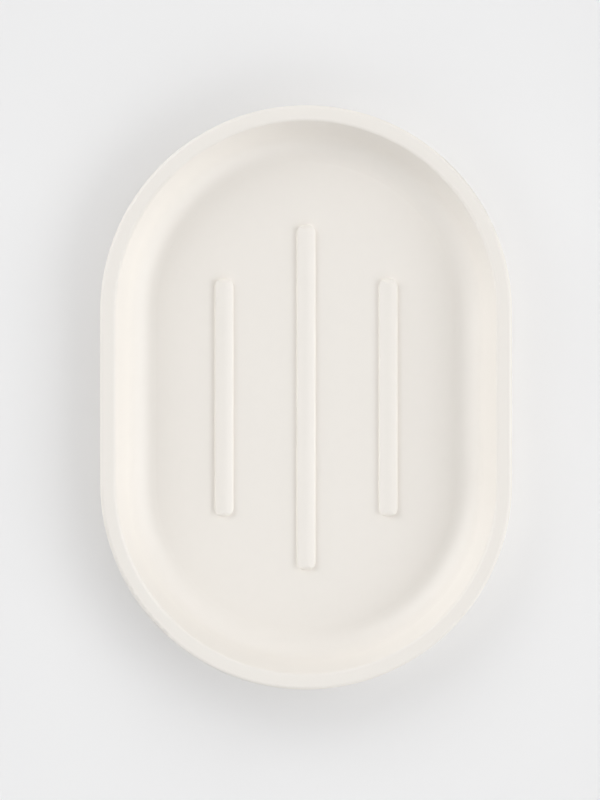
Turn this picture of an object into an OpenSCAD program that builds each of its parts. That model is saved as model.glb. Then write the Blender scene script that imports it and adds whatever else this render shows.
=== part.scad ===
// Soap dish: one matte moulding with a coved bowl, a flat rim, three drainage ribs and a hollow
// underside, standing on four push-in soft feet.
// +X is the width, +Y the length and +Z up. The origin lies on the surface that the feet stand on,
// under the middle of the bowl. Lengths are in millimetres and angles in degrees.

/* [Dish] */
// Length over the rim
dish_length = 140; // [120:1:180]
// Width over the rim
dish_width = 98.7; // [90:0.1:115]
// Height of the rim above the surface that the dish stands on
dish_height = 18.5; // [17.5:0.5:22]
// Height of the bowl's flat floor above the surface that the dish stands on
floor_height = 7.2; // [6.4:0.1:8]
// Width of the flat rim
rim_width = 3.7; // [3.4:0.1:5]
// Lean of the bowl's wall from upright
wall_draft = 22; // [16:1:28]
// Radius of the cove between the wall and the floor
cove_radius = 7; // [5:0.5:8]

/* [Shell] */
// Thickness of the bowl's wall and floor
bowl_wall = 2.4; // [2:0.1:2.6]
// Thickness of the outer skirt
skirt_wall = 1.8; // [1.5:0.1:2.2]
// Lean of the skirt, which widens towards its lower edge
skirt_draft = 1; // [0.5:0.5:2]
// Gap between the skirt's lower edge and the surface that the dish stands on
skirt_lift = 1; // [0.7:0.1:1.2]
// Depth under the rim at which the hollow between bowl and skirt begins
land_depth = 4.5; // [3.5:0.5:6]
// Radius of the rim's outer edge
outer_round = 0.9; // [0.5:0.1:1.4]
// Radius of the rim's inner edge
inner_round = 0.8; // [0.4:0.1:1.1]

/* [Drainage ribs] */
// Width of a rib
rib_width = 4.6; // [4.5:0.1:6]
// Height of a rib above the floor
rib_height = 1.4; // [1.2:0.1:2.4]
// Distance between the ribs' middles
rib_pitch = 19.9; // [14:0.1:22]
// Distance from the rim's inner edge to the ends of the middle rib
middle_rib_inset = 24.5; // [20:0.1:36]
// Distance from the rim's inner edge to the ends of the side ribs
side_rib_inset = 37.5; // [34:0.1:46]
// Radius between a rib's upright side and its crown
rib_side_round = 0.7; // [0.3:0.1:1]
// Radius of a rib's crown
rib_crown_radius = 5; // [4:0.5:16]
// Radius between a rib's end and its top, seen from the side
rib_end_round = 1.3; // [0.6:0.1:1.4]
// Radius of a rib's corners in plan
rib_corner_round = 2.1; // [1:0.1:2.2]

/* [Stiffening webs] */
// Webs round each half-round end
webs_per_end = 5; // [3:1:9]
// Thickness of a web
web_wall = 1.4; // [1:0.1:2]
// Height of a web's lower edge above the skirt's lower edge
web_setback = 5.4; // [4.8:0.1:8]

/* [Feet] */
// Diameter of a foot's head
foot_diameter = 9; // [7:0.5:11]
// Thickness of a foot's head
foot_head = 1.6; // [1.4:0.1:2]
// Radius of the edge round a foot's sole
foot_round = 0.8; // [0.4:0.1:1.2]
// Diameter of a foot's stem
stem_diameter = 4; // [3:0.5:5]
// Length of a foot's stem
stem_length = 2.6; // [2:0.1:3]
// Chamfer at the tip of a stem
stem_chamfer = 0.5; // [0.2:0.1:0.8]
// Wall of the boss round a foot's head
boss_wall = 1.4; // [1:0.1:2]
// Depth to which a foot's head is let into its boss
head_recess = 0.6; // [0.3:0.1:0.8]
// Gap between a boss and the edge of the flat floor
foot_inset = 0.5; // [0:0.1:3]
// Direction of a foot from the centre of its end, measured from the width
foot_angle = 35; // [20:1:55]

/* [Fits] */
// Gap all round a foot's stem and head
foot_clearance = 0.1; // [0.05:0.05:0.2]
// Gap above a stem's tip
tip_clearance = 0.2; // [0.1:0.1:0.3]

/* [Hidden] */
$fn = 96;
// Overrun of a cut past the face that it opens
overrun = 1;

// Plan: a stadium, with half-round ends about two centres on the long axis
end_radius = dish_width / 2;
straight = dish_length - dish_width;
end_y = straight / 2;

// Bowl, as a section whose first coordinate runs from the middle line outwards
cove_z = floor_height + cove_radius;
bowl_radius = end_radius - rim_width;
floor_radius = bowl_radius - (dish_height - cove_z) * tan(wall_draft)
    - cove_radius / cos(wall_draft);

// Skirt, along the line of its outer face
skirt_side = [cos(skirt_draft), sin(skirt_draft)];
skirt_edge_r = skirt_wall / 2;
skirt_edge_z = skirt_lift + skirt_edge_r;
skirt_edge_x = skirt_x(skirt_edge_z) - skirt_edge_r / cos(skirt_draft);
land_z = dish_height - land_depth;

// Angle that a web takes up round an end, from its thickness at the rim
web_turn = web_wall / end_radius * 180 / PI;

// Ribs
rib_side_z = rib_height - rib_crown_radius
    + sqrt(pow(rib_crown_radius - rib_side_round, 2) - pow(rib_width / 2 - rib_side_round, 2));
rib_sink = bowl_wall / 2;

// Feet
foot_radius = foot_diameter / 2;
stem_radius = stem_diameter / 2;
boss_radius = foot_radius + foot_clearance + boss_wall;
boss_z = foot_head - head_recess;
boss_top_z = floor_height - bowl_wall / 2;
foot_reach = floor_radius - foot_inset - boss_radius;
foot_x = foot_reach * cos(foot_angle);
foot_y = end_y + foot_reach * sin(foot_angle);

// Distance of the skirt's outer face from the middle line at a height
function skirt_x(z) = end_radius + (dish_height - z) * tan(skirt_draft);

// How far a rounding's centre lies from a sharp edge whose other face leans by an angle
function round_offset(radius, lean) = radius * (1 - sin(lean)) / cos(lean);

// A section, drawn at positive X, carried round a stadium with the given straight length
module stadium_sweep(straight_length) {
    for (turn = [0, 180])
        rotate([0, 0, turn])
            translate([0, straight_length / 2, 0])
                rotate_extrude(angle = 180)
                    children();
    rotate([90, 0, 0])
        linear_extrude(height = straight_length, center = true) {
            children();
            mirror([1, 0])
                children();
        }
}

// The bowl's inside, grown outwards by a thickness and open at the top
module bowl_section(grow) {
    radius = cove_radius + grow;
    top = dish_height + overrun;
    top_x = bowl_radius + grow / cos(wall_draft) + overrun * tan(wall_draft);
    polygon([
        [0, floor_height - grow],
        [floor_radius, floor_height - grow],
        [floor_radius, cove_z],
        [floor_radius + radius * cos(wall_draft), cove_z - radius * sin(wall_draft)],
        [top_x, top],
        [0, top]
    ]);
    translate([floor_radius, cove_z])
        circle(radius);
}

// The outside of the dish, filled down to the middle of the skirt's round lower edge
module outer_section() {
    centre = [end_radius - round_offset(outer_round, skirt_draft), dish_height - outer_round];
    edge = [skirt_edge_x, skirt_edge_z];
    polygon([
        [0, dish_height],
        [centre[0], dish_height],
        centre,
        centre + outer_round * skirt_side,
        edge + skirt_edge_r * skirt_side,
        edge - skirt_edge_r * skirt_side,
        [0, skirt_edge_z]
    ]);
    translate(centre)
        circle(outer_round);
}

// A wedge that rounds the rim's inner edge, reaching past it into the bowl
module inner_edge_cut() {
    centre = [bowl_radius + round_offset(inner_round, wall_draft), dish_height - inner_round];
    reach = inner_round + overrun;
    difference() {
        polygon([
            centre,
            centre + reach * [0, 1],
            centre + reach * [-cos(wall_draft), sin(wall_draft)]
        ]);
        translate(centre)
            circle(inner_round);
    }
}

// The room inside the skirt, from below it up to a height, with a margin from the skirt's outer face
module under_section(top_z, margin) {
    low_z = skirt_lift - overrun;
    offset_x = margin / cos(skirt_draft);
    polygon([
        [0, low_z],
        [skirt_x(low_z) - offset_x, low_z],
        [skirt_x(top_z) - offset_x, top_z],
        [0, top_z]
    ]);
}

// The shell: rim, bowl and skirt in one even wall, hollow from below
module shell_section() {
    difference() {
        outer_section();
        bowl_section(0);
        inner_edge_cut();
        difference() {
            under_section(land_z, skirt_wall);
            bowl_section(bowl_wall);
        }
    }
    translate([skirt_edge_x, skirt_edge_z])
        circle(skirt_edge_r);
}

// A web between bowl and skirt, ending in the middle of both walls
module web_section() {
    web_z = skirt_lift + web_setback;
    intersection() {
        translate([floor_radius, web_z])
            square([skirt_x(web_z) - floor_radius, land_z + skirt_edge_r - web_z]);
        difference() {
            under_section(land_z + skirt_edge_r, skirt_edge_r);
            bowl_section(bowl_wall / 2);
        }
    }
}

// Webs at the middle of each straight side and evenly round both ends, where their faces are radial
module webs() {
    for (turn = [0, 180])
        rotate([0, 0, turn]) {
            rotate([90, 0, 0])
                linear_extrude(height = web_wall, center = true)
                    web_section();
            for (i = [0 : webs_per_end - 1])
                translate([0, end_y, 0])
                    rotate([0, 0, 180 * (i + 0.5) / webs_per_end - web_turn / 2])
                        rotate_extrude(angle = web_turn)
                            web_section();
        }
}

// Half of a rib's section above and just under the floor: upright side, rounded edge and low crown
module rib_section() {
    crown_z = rib_height - rib_crown_radius;
    edge = [rib_width / 2 - rib_side_round, rib_side_z];
    intersection() {
        translate([0, -rib_sink])
            square([rib_width / 2, rib_height + rib_sink]);
        union() {
            translate([0, -rib_sink])
                square([rib_width / 2, rib_side_z + rib_sink]);
            translate(edge)
                circle(rib_side_round);
            intersection() {
                translate([0, crown_z])
                    circle(rib_crown_radius);
                polygon([
                    [0, crown_z],
                    [0, crown_z] + 2 * (edge - [0, crown_z]),
                    [0, rib_height + rib_crown_radius]
                ]);
            }
        }
    }
}

// Plan of a rib: a rectangle with rounded corners
module rib_plan(length) {
    x = rib_width / 2 - rib_corner_round;
    y = length / 2 - rib_corner_round;
    square([rib_width, 2 * y], center = true);
    square([2 * x, length], center = true);
    for (i = [-1, 1], j = [-1, 1])
        translate([i * x, j * y])
            circle(rib_corner_round);
}

// Side view of a rib: open at the top, with both ends rounded down towards the floor
module rib_side_view(length) {
    end = length / 2 - rib_end_round;
    translate([-length / 2, -rib_sink])
        square([length, rib_height - rib_end_round + rib_sink]);
    translate([-end, -rib_sink])
        square([2 * end, rib_height + rib_sink + overrun]);
    for (i = [-1, 1])
        translate([i * end, rib_height - rib_end_round])
            circle(rib_end_round);
}

// A rib: what its section, its plan and its side view have in common
module rib(length) {
    intersection() {
        rotate([90, 0, 0])
            linear_extrude(height = length, center = true) {
                rib_section();
                mirror([1, 0])
                    rib_section();
            }
        translate([0, 0, -rib_sink])
            linear_extrude(height = rib_height + rib_sink)
                rib_plan(length);
        rotate([90, 0, 90])
            linear_extrude(height = rib_width, center = true)
                rib_side_view(length);
    }
}

// Three parallel ribs that keep the soap off the floor, the middle one longer
module ribs() {
    for (i = [-1 : 1]) {
        inset = i == 0 ? middle_rib_inset : side_rib_inset;
        translate([i * rib_pitch, 0, floor_height])
            rib(dish_length - 2 * (rim_width + inset));
    }
}

// Repeats its children at the four feet
module at_feet() {
    for (x = [-foot_x, foot_x], y = [-foot_y, foot_y])
        translate([x, y, 0])
            children();
}

// Recess and blind hole for a foot
module foot_socket() {
    hole_top_z = foot_head + stem_length + tip_clearance;
    translate([0, 0, boss_z - overrun])
        cylinder(h = head_recess + overrun, r = foot_radius + foot_clearance);
    translate([0, 0, boss_z])
        cylinder(h = hole_top_z - boss_z, r = stem_radius + foot_clearance);
}

module dish_body() {
    color("antiquewhite")
        difference() {
            union() {
                stadium_sweep(straight)
                    shell_section();
                ribs();
                webs();
                at_feet()
                    translate([0, 0, boss_z])
                        cylinder(h = boss_top_z - boss_z, r = boss_radius);
            }
            at_feet()
                foot_socket();
        }
}

// A soft foot: round head with a flat sole, and a stem that is pushed into the boss
module foot(x, y) {
    color("gainsboro")
        translate([x, y, 0])
            rotate_extrude() {
                polygon([
                    [0, 0],
                    [foot_radius - foot_round, 0],
                    [foot_radius - foot_round, foot_round],
                    [foot_radius, foot_round],
                    [foot_radius, foot_head],
                    [stem_radius, foot_head],
                    [stem_radius, foot_head + stem_length - stem_chamfer],
                    [stem_radius - stem_chamfer, foot_head + stem_length],
                    [0, foot_head + stem_length]
                ]);
                translate([foot_radius - foot_round, foot_round])
                    circle(foot_round);
            }
}

dish_body();
foot(-foot_x, -foot_y);  // foot_front_left
foot(foot_x, -foot_y);  // foot_front_right
foot(-foot_x, foot_y);  // foot_rear_left
foot(foot_x, foot_y);  // foot_rear_right
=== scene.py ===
import math

import bpy
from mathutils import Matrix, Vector


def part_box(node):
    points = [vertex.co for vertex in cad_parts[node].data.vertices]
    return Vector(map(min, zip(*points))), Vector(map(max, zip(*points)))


# The photograph's frame, and where the dish lies in it, in its pixels
IMAGE_W = 600
IMAGE_H = 800
DISH_LEFT = 100.0
DISH_RIGHT = 512.3
DISH_CENTRE_Y = 397.4

# Width over the rim, and the camera's height above it, in metres; the sensor in millimetres
RIM_WIDTH = 0.0987
CAMERA_ABOVE_RIM = 0.9
SENSOR_WIDTH = 36.0

# Each material's darkest and lightest colour, from 0 to 255, and its least and most roughness
DISH_COLOURS = ((246.5, 242.2, 236), (247.1, 242.8, 236.6))
DISH_ROUGHNESS = (0.38, 0.44)
FOOT_COLOURS = ((196, 193, 187), (206, 203, 197))
FOOT_ROUGHNESS = (0.38, 0.5)
FLOOR_COLOURS = ((236, 236, 236.4), (238, 238, 238.4))
FLOOR_ROUGHNESS = 0.9
BACKGROUND_COLOUR = (238, 238, 238)

# The share of a noise's range over which colour and roughness change
NOISE_LOW = 0.3
NOISE_HIGH = 0.7

FLOOR_SIZE = 6.0

# Soft distant lamps: azimuth from +X towards +Y, elevation and angular size in degrees, strength
DISH_LAMPS = (
    ("key_left", 150, 30, 50, 1.42),
    ("key_right", 0, 30, 50, 1.15),
    ("near_right", 300, 30, 50, 0.85),
    ("near_left", 225, 30, 50, 0.33),
    ("high_right", 0, 50, 50, 0.5),
    ("high_left", 135, 50, 50, 0.52),
    ("low_far", 60, 12, 50, 0.5),
    ("low_left", 180, 8, 20, 0.25),
)
FLOOR_LAMPS = (
    ("floor_right_far", 30, 40, 50, 0.68),
    ("floor_far", 90, 40, 50, 0.9),
    ("floor_left_far", 150, 40, 50, 0.8),
    ("floor_left_near", 210, 40, 50, 0.42),
    ("floor_near", 270, 40, 50, 0.65),
    ("floor_right_near", 330, 40, 50, 0.9),
    ("floor_high_right", 0, 55, 50, 0.4),
)
# Light from below for views of the underside, which the floor lets through
UNDER_LAMPS = (("under", 0, -90, 30, 0.9),)

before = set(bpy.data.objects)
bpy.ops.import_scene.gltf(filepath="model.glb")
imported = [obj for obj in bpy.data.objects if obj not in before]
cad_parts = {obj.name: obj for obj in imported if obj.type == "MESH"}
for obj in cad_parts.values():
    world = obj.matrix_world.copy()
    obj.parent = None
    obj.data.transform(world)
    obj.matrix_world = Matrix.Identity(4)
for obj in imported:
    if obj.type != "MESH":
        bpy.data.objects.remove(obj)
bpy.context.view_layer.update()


def linear(srgb):
    """A colour of 0 to 255 values as Blender's linear colour, opaque."""
    return [((c / 255 + 0.055) / 1.055) ** 2.4 if c > 10 else c / 255 / 12.92 for c in srgb] + [1]


def grey(value):
    """A plain value as an opaque colour."""
    return (value, value, value, 1)


def make_camera(rim_z):
    """A camera straight above the dish, framed as in the photograph."""
    pixel = RIM_WIDTH / (DISH_RIGHT - DISH_LEFT)
    data = bpy.data.cameras.new("camera")
    data.sensor_width = SENSOR_WIDTH
    data.lens = SENSOR_WIDTH * CAMERA_ABOVE_RIM / (pixel * IMAGE_H)
    camera = bpy.data.objects.new("camera", data)
    bpy.context.scene.collection.objects.link(camera)
    camera.location = (
        -pixel * ((DISH_LEFT + DISH_RIGHT) / 2 - IMAGE_W / 2),
        pixel * (DISH_CENTRE_Y - IMAGE_H / 2),
        rim_z + CAMERA_ABOVE_RIM,
    )
    bpy.context.scene.camera = camera


def new_material(name):
    """A material with a Principled shader, as (material, node tree, output, shader)."""
    material = bpy.data.materials.new(name)
    material.use_nodes = True
    tree = material.node_tree
    tree.nodes.clear()
    output = tree.nodes.new("ShaderNodeOutputMaterial")
    shader = tree.nodes.new("ShaderNodeBsdfPrincipled")
    tree.links.new(shader.outputs["BSDF"], output.inputs["Surface"])
    return material, tree, output, shader


def noise(tree, scale, detail):
    """Noise in the model's own metres, as a value about 0.5."""
    coords = tree.nodes.new("ShaderNodeTexCoord")
    node = tree.nodes.new("ShaderNodeTexNoise")
    node.inputs["Scale"].default_value = scale
    node.inputs["Detail"].default_value = detail
    tree.links.new(coords.outputs["Object"], node.inputs["Vector"])
    return node.outputs["Fac"]


def vary(tree, socket, value, low, high):
    """Links a socket to a colour between low and high that follows a noise's value."""
    node = tree.nodes.new("ShaderNodeValToRGB")
    stops = ((NOISE_LOW, low), (NOISE_HIGH, high))
    for element, (position, colour) in zip(node.color_ramp.elements, stops):
        element.position = position
        element.color = colour
    tree.links.new(value, node.inputs["Fac"])
    tree.links.new(node.outputs["Color"], socket)


def bump(tree, shader, height, distance, strength, before=None):
    """Bump of a height in metres on a shader, after an earlier bump."""
    node = tree.nodes.new("ShaderNodeBump")
    node.inputs["Distance"].default_value = distance
    node.inputs["Strength"].default_value = strength
    tree.links.new(height, node.inputs["Height"])
    if before is not None:
        tree.links.new(before, node.inputs["Normal"])
    tree.links.new(node.outputs["Normal"], shader.inputs["Normal"])
    return node.outputs["Normal"]


def dish_material():
    """Matte warm off-white moulding with a fine grain."""
    material, tree, _, shader = new_material("dish_matte")
    dark, light = (linear(c) for c in DISH_COLOURS)
    vary(tree, shader.inputs["Base Color"], noise(tree, 400, 3), dark, light)
    least, most = (grey(r) for r in DISH_ROUGHNESS)
    vary(tree, shader.inputs["Roughness"], noise(tree, 900, 2), least, most)
    shader.inputs["IOR"].default_value = 1.5
    grain = bump(tree, shader, noise(tree, 2600, 2), 0.00003, 0.25)
    bump(tree, shader, noise(tree, 120, 2), 0.0002, 0.04, grain)
    return material


def foot_material():
    """Satin pale grey silicone."""
    material, tree, _, shader = new_material("foot_silicone")
    dark, light = (linear(c) for c in FOOT_COLOURS)
    vary(tree, shader.inputs["Base Color"], noise(tree, 300, 3), dark, light)
    least, most = (grey(r) for r in FOOT_ROUGHNESS)
    vary(tree, shader.inputs["Roughness"], noise(tree, 1500, 2), least, most)
    bump(tree, shader, noise(tree, 1800, 2), 0.00003, 0.3)
    return material


def floor_material():
    """Plain pale grey tabletop, very slightly uneven, and clear when seen from below."""
    material, tree, output, shader = new_material("floor_pale")
    dark, light = (linear(c) for c in FLOOR_COLOURS)
    vary(tree, shader.inputs["Base Color"], noise(tree, 8, 2), dark, light)
    shader.inputs["Roughness"].default_value = FLOOR_ROUGHNESS
    shader.inputs["Specular IOR Level"].default_value = 0.0
    side = tree.nodes.new("ShaderNodeNewGeometry")
    clear = tree.nodes.new("ShaderNodeBsdfTransparent")
    mix = tree.nodes.new("ShaderNodeMixShader")
    tree.links.new(side.outputs["Backfacing"], mix.inputs["Fac"])
    tree.links.new(shader.outputs["BSDF"], mix.inputs[1])
    tree.links.new(clear.outputs["BSDF"], mix.inputs[2])
    tree.links.new(mix.outputs["Shader"], output.inputs["Surface"])
    return material


def make_world():
    """A pale surround that the camera and reflections see, and that adds no light of its own."""
    world = bpy.data.worlds.new("world")
    bpy.context.scene.world = world
    world.use_nodes = True
    tree = world.node_tree
    background = tree.nodes["Background"]
    background.inputs["Color"].default_value = linear(BACKGROUND_COLOUR)
    path = tree.nodes.new("ShaderNodeLightPath")
    seen = path.outputs["Is Camera Ray"]
    for ray in ("Is Glossy Ray", "Is Transmission Ray"):
        either = tree.nodes.new("ShaderNodeMath")
        either.operation = "MAXIMUM"
        tree.links.new(seen, either.inputs[0])
        tree.links.new(path.outputs[ray], either.inputs[1])
        seen = either.outputs["Value"]
    tree.links.new(seen, background.inputs["Strength"])


def make_floor():
    """The tabletop, a backdrop that isn't part of the object."""
    bpy.ops.mesh.primitive_plane_add(size=FLOOR_SIZE)
    plane = bpy.context.object
    plane.name = "floor"
    plane.data.materials.append(floor_material())
    return plane


def put(material, node):
    """Gives a CAD node's object a material in all its slots."""
    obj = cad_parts[node]
    if not obj.data.materials:
        obj.data.materials.append(material)
    for slot in obj.material_slots:
        slot.material = material


def link_collection(name, obj, state):
    """A light-linking collection that includes or excludes one object."""
    collection = bpy.data.collections.new(name)
    collection.objects.link(obj)
    collection.collection_objects[0].light_linking.link_state = state
    return collection


def make_lamps(lamps, receivers, blockers=None):
    """Soft distant lamps that light their receivers and are blocked by all, or by some objects."""
    for name, azimuth, elevation, size, strength in lamps:
        light = bpy.data.lights.new(name, "SUN")
        light.energy = strength
        light.angle = math.radians(size)
        lamp = bpy.data.objects.new(name, light)
        bpy.context.scene.collection.objects.link(lamp)
        a, e = math.radians(azimuth), math.radians(elevation)
        towards = Vector((math.cos(e) * math.cos(a), math.cos(e) * math.sin(a), math.sin(e)))
        lamp.rotation_euler = towards.to_track_quat("Z", "Y").to_euler()
        lamp.location = towards
        lamp.light_linking.receiver_collection = receivers
        lamp.light_linking.blocker_collection = blockers


make_camera(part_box("dish_body")[1][2])
floor = make_floor()

dish = dish_material()
foot = foot_material()
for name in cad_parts:
    put(dish if name == "dish_body" else foot, name)

all_but_floor = link_collection("all_but_floor", floor, "EXCLUDE")
only_floor = link_collection("only_floor", floor, "INCLUDE")
make_lamps(DISH_LAMPS, all_but_floor)
make_lamps(UNDER_LAMPS, all_but_floor, all_but_floor)
make_lamps(FLOOR_LAMPS, only_floor)

make_world()
bpy.context.scene.view_settings.view_transform = "Standard"
